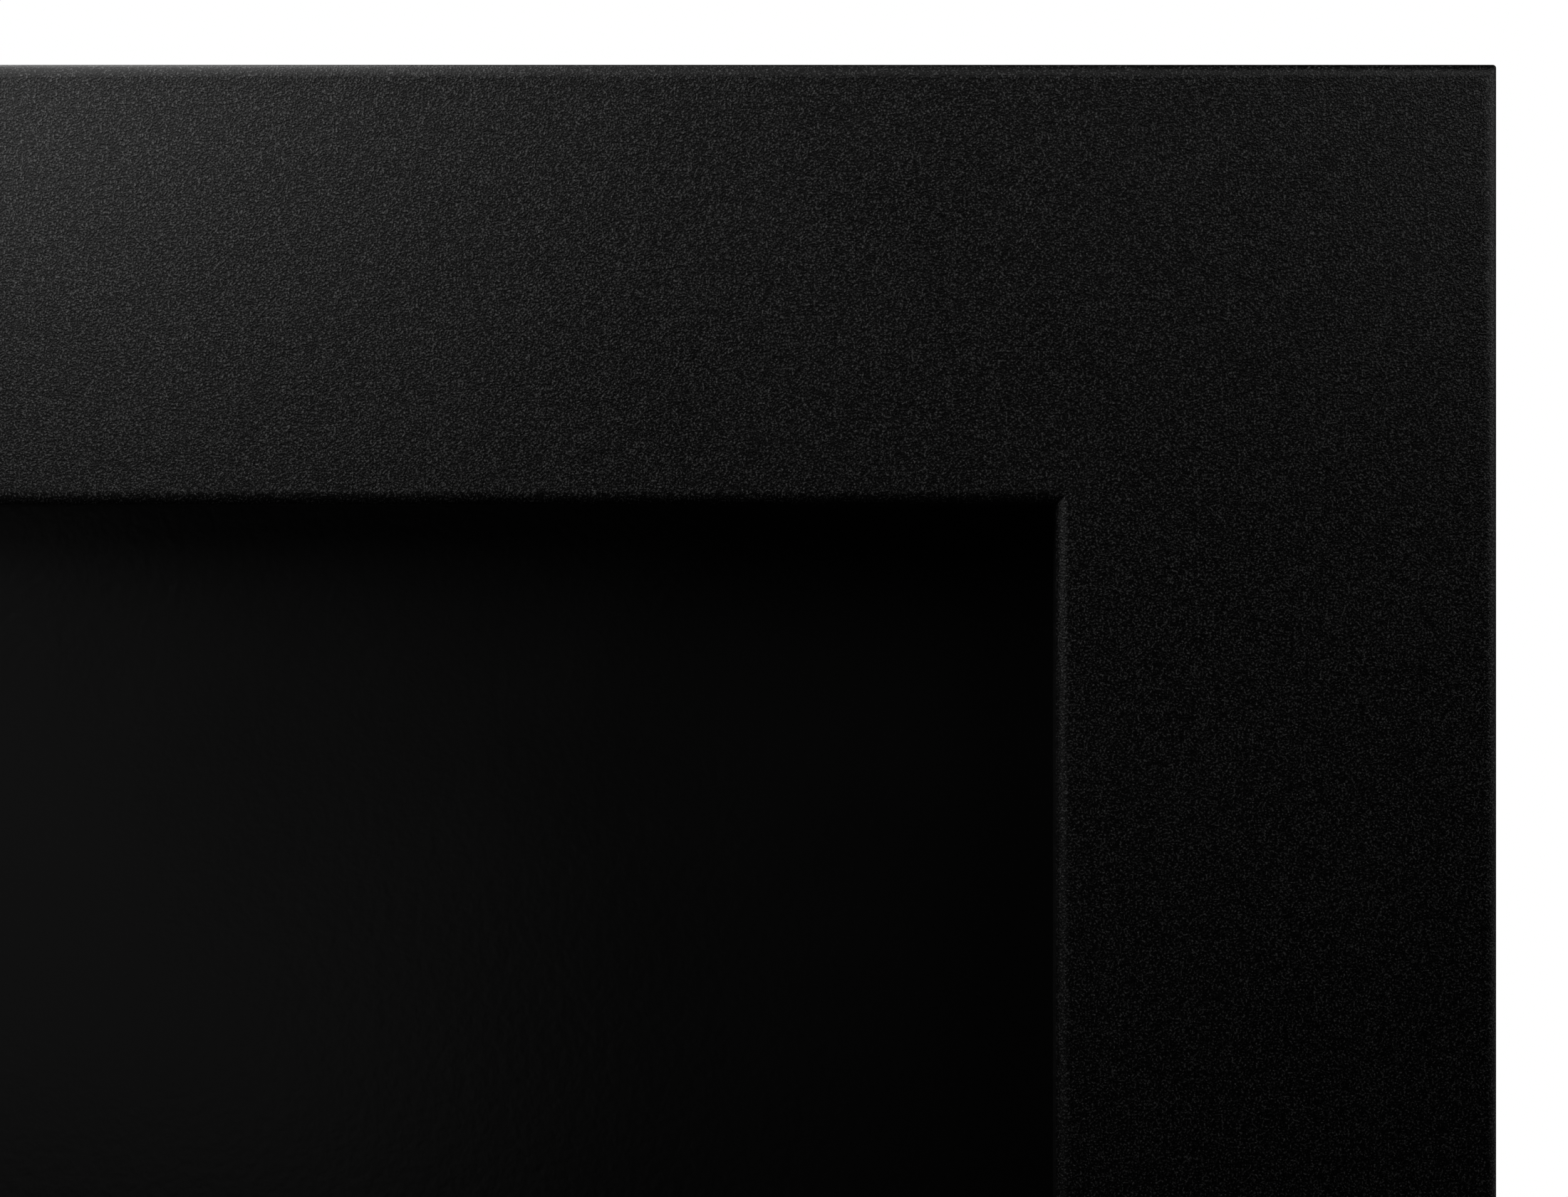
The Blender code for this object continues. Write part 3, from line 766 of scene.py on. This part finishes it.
def glide_stud(name, shank_top):
    """Origin at the collar's underside: tail down into the pad, threaded shank up."""
    flats = STUD_ACROSS_FLATS
    turned = flats * 0.51
    full = flats * 0.6
    edge = 0.0006
    loops = [
        circle(STUD_TAIL_RADIUS - edge / 2, -STUD_TAIL_LENGTH),
        circle(STUD_TAIL_RADIUS, -STUD_TAIL_LENGTH + edge / 2),
        circle(STUD_TAIL_RADIUS, 0),
        hexagon(flats, 0, corner_limit=turned),
        hexagon(flats, edge, corner_limit=full),
        hexagon(flats, STUD_COLLAR - edge, corner_limit=full),
        hexagon(flats, STUD_COLLAR, corner_limit=turned),
        circle(STUD_RADIUS, STUD_COLLAR),
    ]
    loops += thread(STUD_RADIUS, STUD_PITCH, STUD_COLLAR + 0.0004, shank_top - STUD_PITCH / 2)
    loops.append(circle(STUD_RADIUS - THREAD_DEPTH * STUD_PITCH - THREAD_CHAMFER, shank_top))
    return loft(name, loops)


def glide_pad(name, radius, height):
    """A rubber disc from the floor up: rounded rims, a ring groove below, a blind hole on top."""
    soft = PAD_EDGE_ROUND
    hole = STUD_TAIL_RADIUS + PAD_HOLE_GAP
    profile = [(hole, height - STUD_TAIL_LENGTH - PAD_HOLE_GAP)]
    profile += [(hole, height - PAD_HOLE_LIP), (hole + PAD_HOLE_LIP, height)]
    profile += arc(radius - soft, height - soft, soft, 90, 0, PAD_EDGE_STEPS)
    profile += arc(radius - soft, soft, soft, 0, -90, PAD_EDGE_STEPS)
    profile += [(radius * 0.72, 0), (radius * 0.70, PAD_GROOVE_DEPTH)]
    profile += [(radius * 0.58, PAD_GROOVE_DEPTH), (radius * 0.56, 0)]
    return loft(name, [circle(r, z) for r, z in profile])


def make_glides():
    low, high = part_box("glide_pad_front_left")
    pad = glide_pad("glide_pad_moulded", (high.x - low.x) / 2, high.z - low.z)
    stud_low, stud_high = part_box("glide_stud_front_left")
    collar_bottom = stud_low.z + STUD_TAIL_LENGTH
    stud = glide_stud("glide_stud_turned", stud_high.z - collar_bottom)
    for glide in GLIDES:
        spot = middle_of(f"glide_pad_{glide}")
        spot.z = low.z
        new_piece(f"glide_pad_{glide}", pad, spot)
        spot = middle_of(f"glide_stud_{glide}")
        spot.z = collar_bottom
        new_piece(f"glide_stud_{glide}", stud, spot)


def wire(name, points, radius):
    """A round wire along points in the X-Z plane, its ends lightly chamfered."""
    edge = radius * 0.18
    path = [Vector((x, 0, z)) for x, z in points]
    around = [tau * k / WIRE_ROUND for k in range(WIRE_ROUND)]
    rearward = Vector((0, 1, 0))
    loops = []
    for i, point in enumerate(path):
        along = (path[min(i + 1, len(path) - 1)] - path[max(i - 1, 0)]).normalized()
        across = Vector((-along.z, 0, along.x))
        rings = [(radius, 0)]
        if i == 0:
            rings = [(radius - edge, 0), (radius, edge)]
        if i == len(path) - 1:
            rings = [(radius, -edge), (radius - edge, 0)]
        for reach, shift in rings:
            centre = point + along * shift
            loops.append([centre + (across * cos(a) + rearward * sin(a)) * reach for a in around])
    return loft(name, loops)


def bail_path(width, drop):
    """From one pivot, in through the knee, down, across and back, about the pivot axis."""
    knee, corner, half = BAIL_KNEE, BAIL_CORNER, BAIL_HALF_WIDTH
    right = [(width / 2, 0)]
    right += arc(half + knee, -knee, knee, 90, 180, FOLD_STEPS)
    right += arc(half - corner, corner - drop, corner, 0, -90, BAIL_CORNER_STEPS)
    return right + [(-x, z) for x, z in reversed(right)]


def bracket(name, width, depth, height):
    """A folded strip with an ear at each end: local X along it, Y rearward, Z up from 0."""
    bend = 1.5 * STRIP
    out = width / 2 - STRIP / 2
    right = [(out, depth - from_tip) for from_tip in EAR_STATIONS]
    right += arc(out - bend, STRIP / 2 + bend, bend, 0, -90, FOLD_STEPS)
    path = right + [(-x, y) for x, y in reversed(right)]
    corners = ((1, 1, 0), (-1, 1, 90), (-1, -1, 180), (1, -1, 270))
    soft = STRIP_EDGE_ROUND
    loops = []
    for i, (x, y) in enumerate(path):
        before, after = path[max(i - 1, 0)], path[min(i + 1, len(path) - 1)]
        along = Vector((after[0] - before[0], after[1] - before[1], 0)).normalized()
        across = Vector((-along.y, along.x, 0))
        from_tip = min(EAR_ROUND, depth - y) if abs(x) > out - 0.00001 else EAR_ROUND
        cut = EAR_ROUND - sqrt(EAR_ROUND**2 - (EAR_ROUND - from_tip) ** 2)
        half_height = height / 2 - cut
        loop = []
        for u_sign, v_sign, start in corners:
            centre_u = u_sign * (STRIP / 2 - soft)
            centre_v = v_sign * (half_height - soft)
            for u, v in arc(centre_u, centre_v, soft, start, start + 90, LIP_STEPS):
                loop.append(Vector((x, y, height / 2 + v)) + across * u)
        loops.append(loop)
    return loft(name, loops)


def bail_rivet(name, head_radius, length):
    """Dome up at z 0 with the drawn mandrel's dimple, shank down, bulb on the blind side."""
    head_height = RIVET_HEAD_HEIGHT
    shank = head_radius * 0.5
    bulb = head_radius * 0.7
    loops = [circle(shank * 0.6, -length), circle(shank, -length + 0.0002)]
    loops += [circle(bulb, -length + 0.0012), circle(bulb, -length + 0.003)]
    loops += [circle(shank, -length + 0.0032), circle(shank, 0), circle(head_radius * 0.97, 0)]
    for u, v in arc(0, 0, 1, 0, 90, RIVET_STEPS):
        loops.append(circle(head_radius * (0.42 + 0.58 * u), head_height * (0.12 + 0.88 * v)))
    loops.append(circle(head_radius * 0.3, head_height * 0.97))
    loops += [circle(head_radius * share, head_height * 0.5) for share in (0.24, 0.2)]
    return loft(name, loops)


def make_handles():
    low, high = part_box("bail_rivet_left_1")
    length = high.y - low.y - RIVET_HEAD_HEIGHT
    rivet = bail_rivet("bail_rivet_set", (high.x - low.x) / 2, length)
    low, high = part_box("lift_bail_left")
    path = bail_path(high.x - low.x, high.z - low.z - 2 * WIRE_RADIUS)
    bail = wire("lift_bail_bent", path, WIRE_RADIUS)
    low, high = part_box("bail_bracket_left")
    width, depth, height = high - low
    strip = bracket("bail_bracket_folded", width, depth, height)
    ears = [Vector((step * (width - STRIP) / 2, PIVOT_FROM_PANEL, height / 2)) for step in (-1, 1)]
    ear_hole = WIRE_RADIUS * EAR_HOLE_CLEARANCE
    strip = holed(strip, "bail_bracket_bored", ears, ear_hole, 3 * STRIP, "X")
    for side in SIDES:
        low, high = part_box(f"bail_bracket_{side}")
        new_piece(f"bail_bracket_{side}", strip, ((low.x + high.x) / 2, low.y, low.z))
        for i in (1, 2):
            spot = middle_of(f"bail_rivet_{side}_{i}")
            spot.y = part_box(f"bail_rivet_{side}_{i}")[1].y - RIVET_HEAD_HEIGHT
            new_piece(f"bail_rivet_{side}_{i}", rivet, spot, (-pi / 2, 0, 0))
        spot = middle_of(f"lift_bail_{side}")
        spot.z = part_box(f"lift_bail_{side}")[1].z - WIRE_RADIUS
        new_piece(f"lift_bail_{side}", bail, spot)


make_front_frame()
refinish("back_panel")
refinish("seal_tape")
make_screws_and_nuts()
foot_bars = make_feet()
make_glides()
make_handles()


# Stage.

FLOOR_RADIUS = 6.0
FLOOR_FADE_START = 1.2
BOUNCE_FROM = 0.1
BOUNCE_FULL = 0.6
DIM_BOUNCE = 0.01
FULL_BOUNCE = 0.5
CAMERA_LENS = 200
CAMERA_DISTANCE = 1.4814
CAMERA_IN_FROM_CORNER = Vector((-0.1213, 0, -0.0909))


def make_floor():
    """A pale disc that fades to the surroundings' white. Only its rear half throws light back up."""
    bm = bmesh.new()
    bmesh.ops.create_circle(bm, cap_ends=True, segments=96, radius=FLOOR_RADIUS)
    mesh = finish_mesh("floor", bm)
    floor_piece = bpy.data.objects.new("floor", mesh)
    bpy.context.scene.collection.objects.link(floor_piece)
    pale = bpy.data.materials.new("pale_floor")
    pale.use_nodes = True
    tree = pale.node_tree
    tree.nodes.remove(tree.nodes["Principled BSDF"])
    path = tree.nodes.new("ShaderNodeLightPath")
    matt = tree.nodes.new("ShaderNodeBsdfDiffuse")
    matt.inputs["Color"].default_value = (0.8, 0.8, 0.8, 1.0)
    bounce = tree.nodes.new("ShaderNodeBsdfDiffuse")
    place = where_on_object(tree)
    split = tree.nodes.new("ShaderNodeSeparateXYZ")
    tree.links.new(place, split.inputs["Vector"])
    behind = remap(tree, split.outputs["Y"], BOUNCE_FROM, BOUNCE_FULL, DIM_BOUNCE, FULL_BOUNCE)
    tree.links.new(behind, bounce.inputs["Color"])
    white = tree.nodes.new("ShaderNodeEmission")
    distance = tree.nodes.new("ShaderNodeVectorMath")
    distance.operation = "LENGTH"
    tree.links.new(place, distance.inputs[0])
    far = remap(tree, distance.outputs["Value"], FLOOR_FADE_START, FLOOR_RADIUS * 0.95, 0.0, 1.0)
    fade = tree.nodes.new("ShaderNodeMixShader")
    seen = tree.nodes.new("ShaderNodeMixShader")
    tree.links.new(far, fade.inputs["Fac"])
    tree.links.new(matt.outputs[0], fade.inputs[1])
    tree.links.new(white.outputs[0], fade.inputs[2])
    tree.links.new(path.outputs["Is Camera Ray"], seen.inputs["Fac"])
    tree.links.new(bounce.outputs[0], seen.inputs[1])
    tree.links.new(fade.outputs[0], seen.inputs[2])
    tree.links.new(seen.outputs[0], tree.nodes["Material Output"].inputs["Surface"])
    mesh.materials.append(pale)
    return floor_piece


def make_surroundings():
    """White to look at, but giving no light."""
    world = bpy.data.worlds.new("studio")
    bpy.context.scene.world = world
    world.use_nodes = True
    tree = world.node_tree
    background = tree.nodes["Background"]
    background.inputs["Color"].default_value = (1.0, 1.0, 1.0, 1.0)
    path = tree.nodes.new("ShaderNodeLightPath")
    tree.links.new(path.outputs["Is Camera Ray"], background.inputs["Strength"])


def softbox(name, width, height, place, aim, watts, spread=180):
    """A rectangular soft light at a place, aimed at a point, that the camera doesn't see."""
    data = bpy.data.lights.new(name, "AREA")
    data.shape = "RECTANGLE"
    data.size = width
    data.size_y = height
    data.energy = watts
    data.spread = radians(spread)
    light = bpy.data.objects.new(name, data)
    light.location = place
    light.rotation_euler = (Vector(aim) - Vector(place)).to_track_quat("-Z", "Y").to_euler()
    light.visible_camera = False
    bpy.context.scene.collection.objects.link(light)
    return light


def make_camera():
    low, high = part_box("front_frame")
    data = bpy.data.cameras.new("camera")
    data.lens = CAMERA_LENS
    data.sensor_width = 36
    data.clip_end = 100
    camera = bpy.data.objects.new("camera", data)
    corner = Vector((high.x, low.y, high.z))
    camera.location = corner + CAMERA_IN_FROM_CORNER - Vector((0, CAMERA_DISTANCE, 0))
    camera.rotation_euler = (pi / 2, 0, 0)
    bpy.context.scene.collection.objects.link(camera)
    bpy.context.scene.camera = camera


def light_only(light, things, state="INCLUDE"):
    """Lets a light fall on these things alone, or on all but them. Shadows stay as they are."""
    lit = bpy.data.collections.new(f"lit_by_{light.name}")
    for thing in things:
        lit.objects.link(thing)
    for entry in lit.collection_objects:
        entry.light_linking.link_state = state
    light.light_linking.receiver_collection = lit


def light_corner():
    """Small soft lights close round the top right corner."""
    corner = (0.37, -0.0125, 0.66)
    softbox("key", 0.10, 0.14, (0.215, -0.171, 0.795), corner, 0.0147)
    softbox("overhead_left", 0.29, 0.18, (0.245, -0.025, 0.799), corner, 0.230)
    softbox("overhead_middle", 0.19, 0.25, (0.318, -0.054, 0.781), corner, 0.045)
    softbox("upper_right", 0.11, 0.19, (0.531, -0.131, 0.843), corner, 0.088)
    softbox("right_side", 0.22, 0.14, (0.794, -0.024, 0.804), corner, 0.1721)
    softbox("low_front", 0.10, 0.10, (0.267, -0.229, 0.579), corner, 0.0044)
    softbox("left_side", 0.19, 0.24, (0.214, -0.054, 0.671), corner, 0.0134)


def light_rest(floor_piece, foot_bars):
    """Soft lights for the rest of the screen, their beams kept narrow to stay off that corner.

    The floor and the foot bars take theirs from overhead instead."""
    apart = [floor_piece, *foot_bars]
    lights = (
        softbox("front_left", 0.5, 0.5, (-1.5, -1.7, 1.0), (-0.38, 0, 0.20), 6, spread=20),
        softbox("front_low", 0.4, 0.4, (1.2, -1.6, 0.5), (0.35, -0.1, 0.05), 1.5, spread=16),
        softbox("rear_left", 1.2, 0.8, (-1.5, 1.6, 0.60), (0, 0, 0.45), 30),
        softbox("rear_middle", 0.9, 0.8, (0.0, 1.8, 0.55), (0.1, 0, 0.40), 16),
        softbox("left_edge", 0.3, 0.8, (-2.0, 0.15, 0.5), (-0.495, 0, 0.40), 6, spread=40),
        softbox("right_edge", 0.3, 0.3, (1.8, 0.2, 0.25), (0.495, 0, 0.20), 2.5, spread=18),
        softbox("top_edge", 0.4, 0.2, (-0.35, 0.15, 1.7), (-0.35, 0, 0.75), 0.8, spread=30),
    )
    for light in lights:
        light_only(light, apart, "EXCLUDE")
    light_only(softbox("floor_light", 5.0, 5.0, (0, 0, 4.0), (0, 0, 0), 230), apart)


bpy.context.scene.view_settings.view_transform = "Standard"
floor_piece = make_floor()
make_surroundings()
light_corner()
light_rest(floor_piece, foot_bars)
make_camera()
